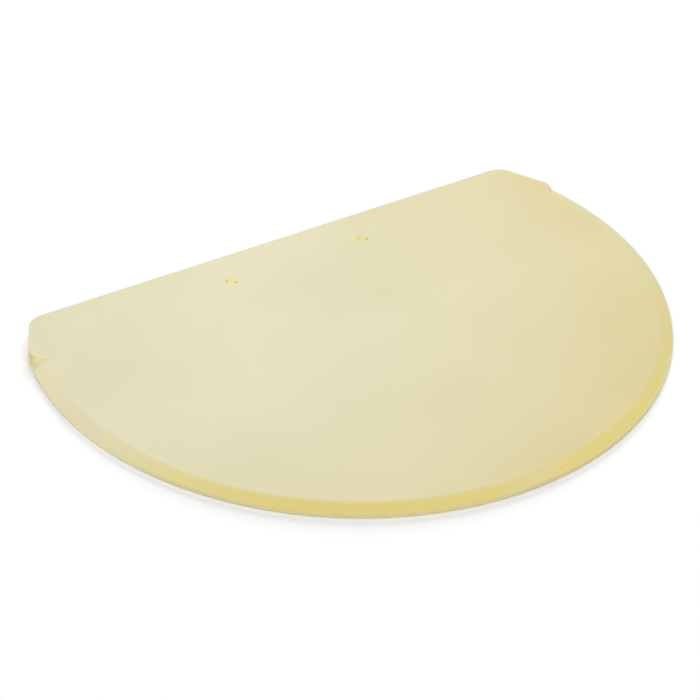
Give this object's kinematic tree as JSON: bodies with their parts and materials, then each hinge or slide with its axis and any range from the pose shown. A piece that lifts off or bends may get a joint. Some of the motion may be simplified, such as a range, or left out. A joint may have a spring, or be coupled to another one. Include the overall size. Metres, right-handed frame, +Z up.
{
  "type": "bowl scraper",
  "caption": "Half-moon bowl scraper: a flat flexible plastic blade with a straight grip edge and a bevelled round scraping edge, for dough and batter.",
  "frame": {"origin": "middle of the blade's box, on the underside that it rests on", "axes": "+X along the straight edge, +Y from the round edge to the straight edge, +Z up out of the bevelled face"},
  "size_m": [0.12, 0.086, 0.0018],
  "materials": {
    "translucent_plastic": "pale ivory-yellow translucent moulded plastic, satin"
  },
  "bodies": {
    "root": {"scraper_blade": "translucent_plastic"}
  },
  "joints": []
}
